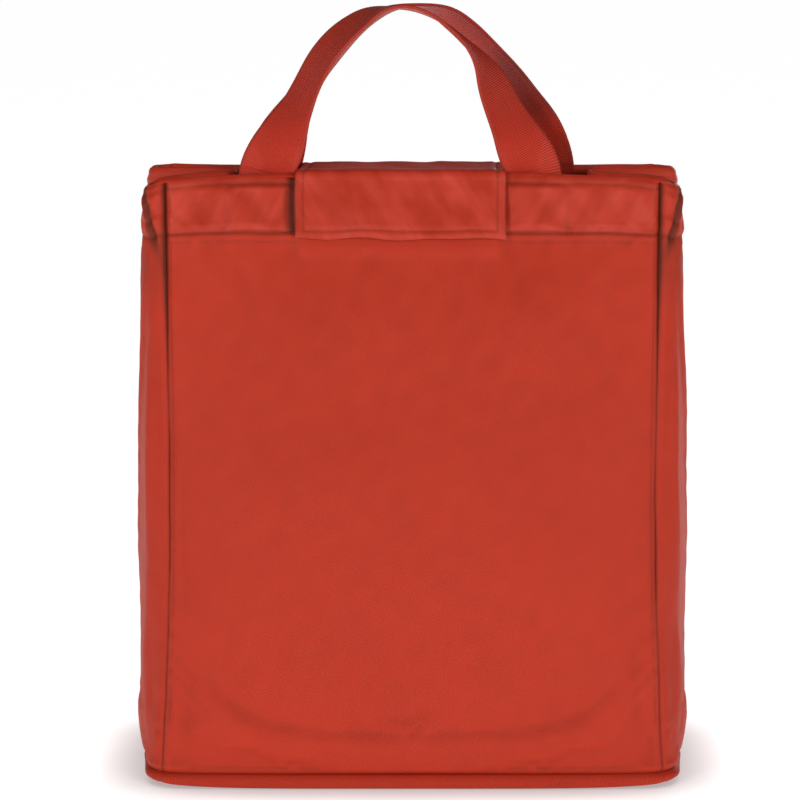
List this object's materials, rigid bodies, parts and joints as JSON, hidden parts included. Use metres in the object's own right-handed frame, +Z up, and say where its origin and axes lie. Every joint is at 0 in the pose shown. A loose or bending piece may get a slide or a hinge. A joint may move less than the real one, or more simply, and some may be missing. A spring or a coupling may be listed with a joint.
{
  "type": "insulated cooler bag",
  "caption": "Upright soft cooler tote with folded side gussets, a short hook-and-loop flap over the mouth and two webbing handles.",
  "frame": {"origin": "centre of the base's underside, on the surface the bag stands on", "axes": "+Z up to the handles, +Y from the front (flap side) to the back, +X to the right seen from the front"},
  "size_m": [0.303, 0.162, 0.423],
  "materials": {
    "red_cloth": "non-woven polypropylene with a fine embossed diamond lattice, slightly sheeny",
    "lining_cloth": "non-woven polypropylene, inner side of the flap",
    "foil_foam": "thin PE foam faced with crinkled silver foil",
    "webbing": "cross-ribbed polypropylene webbing",
    "loop_strip": "brushed loop tape",
    "hook_strip": "hook tape"
  },
  "bodies": {
    "bag": {"front_panel": "red_cloth", "front_insulation": "foil_foam", "front_hem": "red_cloth", "back_panel": "red_cloth", "back_insulation": "foil_foam", "back_hem": "red_cloth", "left_gusset": "red_cloth", "left_insulation": "foil_foam", "left_hem": "red_cloth", "right_gusset": "red_cloth", "right_insulation": "foil_foam", "right_hem": "red_cloth", "base_panel": "red_cloth", "base_insulation": "foil_foam", "front_handle_ends": "webbing", "rear_handle_ends": "webbing", "flap_tail": "red_cloth", "loop_strip": "loop_strip"},
    "front_handle": {"front_handle_strap": "webbing"},
    "rear_handle": {"rear_handle_strap": "webbing"},
    "flap": {"flap_cover": "red_cloth", "flap_lining": "lining_cloth"},
    "flap_tip": {"flap_tip_cover": "red_cloth", "flap_tip_lining": "lining_cloth", "hook_strip": "hook_strip"}
  },
  "joints": [
    {"name": "front_handle_hinge", "type": "hinge", "parent": "bag", "child": "front_handle", "pos_m": [0, -0.0235, 0.3305], "axis": [1, 0, 0], "range_deg": [0, 130]},
    {"name": "rear_handle_hinge", "type": "hinge", "parent": "bag", "child": "rear_handle", "pos_m": [0, 0.0235, 0.3305], "axis": [-1, 0, 0], "range_deg": [0, 140]},
    {"name": "flap_hinge", "type": "hinge", "parent": "bag", "child": "flap", "pos_m": [0, 0.0155, 0.3315], "axis": [-1, 0, 0], "range_deg": [0, 175], "deforming": ["flap_cover", "flap_lining", "flap_tip_cover", "flap_tip_lining", "hook_strip"]},
    {"name": "flap_tip_hinge", "type": "hinge", "parent": "flap", "child": "flap_tip", "pos_m": [0, -0.02394, 0.33103], "axis": [-1, 0, 0], "range_deg": [0, 130]}
  ]
}
